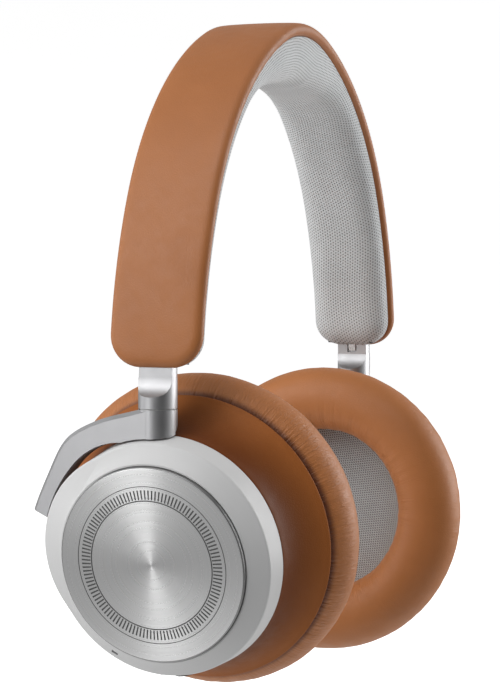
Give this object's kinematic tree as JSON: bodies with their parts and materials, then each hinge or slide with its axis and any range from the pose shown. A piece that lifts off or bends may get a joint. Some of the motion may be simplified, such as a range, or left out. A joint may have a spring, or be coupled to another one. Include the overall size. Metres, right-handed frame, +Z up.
{
  "type": "over-ear headphones",
  "caption": "Wireless over-ear headphones: leather headband with knitted pad, curved height sliders, side arms that swivel and tilt round ear cups with leather cushions.",
  "frame": {"origin": "where the underside of the headband pad, at its apex, rests on the head", "axes": "+Z up, X from ear to ear with the wearer's left cup at +X, +Y towards the back of the head"},
  "size_m": [0.1801, 0.094, 0.2041],
  "materials": {
    "tan_leather": "smooth lambskin, satin",
    "grey_knit": "fine knitted mesh",
    "spring_steel": "brushed",
    "satin_aluminium": "bead-blasted, clear anodised",
    "spun_aluminium": "spun-brushed, clear anodised",
    "grey_housing": "matte light grey",
    "black_plastic": "moulded, fine texture",
    "cable_jacket": "matte",
    "bronze": "sintered",
    "white_polymer": "smooth",
    "board_green": "solder resist",
    "magnet_plate": "nickel plated",
    "film": "thin polymer film",
    "cell_wrap": "shrink wrap",
    "port_steel": "drawn steel can",
    "clear_lens": "frosted light guide"
  },
  "bodies": {
    "headband": {"headband_cover": "tan_leather", "headband_core": "spring_steel", "headband_pad": "grey_knit", "headband_cable": "cable_jacket", "guide_screws": "spring_steel", "slider_guide_R": "black_plastic", "slider_guide_L": "black_plastic", "detent_spring_R": "spring_steel", "detent_spring_L": "spring_steel"},
    "right_slider": {"slider_R": "satin_aluminium", "detent_track_R": "spring_steel", "slider_stop_R": "spring_steel"},
    "right_arm": {"arm_R": "satin_aluminium", "swivel_pin_R": "spring_steel", "swivel_clip_R": "spring_steel", "swivel_washer_R": "white_polymer", "tilt_pin_R": "spring_steel"},
    "right_cup": {"outer_shell_R": "grey_housing", "touch_disc_R": "spun_aluminium", "tilt_bushing_R": "bronze", "circuit_board_R": "board_green", "baffle_R": "black_plastic", "baffle_screws_R": "spring_steel", "cushion_ring_R": "black_plastic", "ear_cushion_R": "tan_leather", "ear_cloth_R": "grey_knit", "driver_frame_R": "black_plastic", "driver_magnet_R": "magnet_plate", "driver_diaphragm_R": "film", "microphones_R": "port_steel", "touch_sensor": "film", "audio_jack": "black_plastic", "usb_port": "port_steel", "power_switch_body": "black_plastic", "status_led": "clear_lens"},
    "left_slider": {"slider_L": "satin_aluminium", "detent_track_L": "spring_steel", "slider_stop_L": "spring_steel"},
    "left_arm": {"arm_L": "satin_aluminium", "swivel_pin_L": "spring_steel", "swivel_clip_L": "spring_steel", "swivel_washer_L": "white_polymer", "tilt_pin_L": "spring_steel"},
    "left_cup": {"outer_shell_L": "grey_housing", "touch_disc_L": "spun_aluminium", "tilt_bushing_L": "bronze", "circuit_board_L": "board_green", "baffle_L": "black_plastic", "baffle_screws_L": "spring_steel", "cushion_ring_L": "black_plastic", "ear_cushion_L": "tan_leather", "ear_cloth_L": "grey_knit", "driver_frame_L": "black_plastic", "driver_magnet_L": "magnet_plate", "driver_diaphragm_L": "film", "microphones_L": "port_steel", "battery": "cell_wrap", "mode_switch": "black_plastic"},
    "power_knob": {"power_switch": "grey_housing"},
    "mode_key": {"mode_button": "grey_housing"}
  },
  "joints": [
    {"name": "height_right", "type": "hinge", "parent": "headband", "child": "right_slider", "pos_m": [0.0604, 0, -0.0935], "axis": [0, -1, 0], "range_deg": [0, 9.5]},
    {"name": "swivel_right", "type": "hinge", "parent": "right_slider", "child": "right_arm", "pos_m": [-0.0796, 0, -0.097], "axis": [0, 0, 1], "range_deg": [-10, 90]},
    {"name": "tilt_right", "type": "hinge", "parent": "right_arm", "child": "right_cup", "pos_m": [-0.0784, 0.03, -0.1246], "axis": [0, -1, 0], "range_deg": [-9.65, 2.35]},
    {"name": "height_left", "type": "hinge", "parent": "headband", "child": "left_slider", "pos_m": [-0.0604, 0, -0.0935], "axis": [0, 1, 0], "range_deg": [0, 9.5]},
    {"name": "swivel_left", "type": "hinge", "parent": "left_slider", "child": "left_arm", "pos_m": [0.0796, 0, -0.097], "axis": [0, 0, -1], "range_deg": [-10, 90]},
    {"name": "tilt_left", "type": "hinge", "parent": "left_arm", "child": "left_cup", "pos_m": [0.0784, 0.03, -0.1246], "axis": [0, 1, 0], "range_deg": [-2, 10]},
    {"name": "power_slide", "type": "slide", "parent": "right_cup", "child": "power_knob", "axis": [0.1232, -0.5736, -0.8098], "range_m": [-0.0016, 0.0016]},
    {"name": "mode_press", "type": "slide", "parent": "left_cup", "child": "mode_key", "axis": [0.01, -0.8192, 0.5735], "range_m": [0, 0.0006], "stiffness_N_per_m": 600, "springref_m": -0.0004}
  ]
}
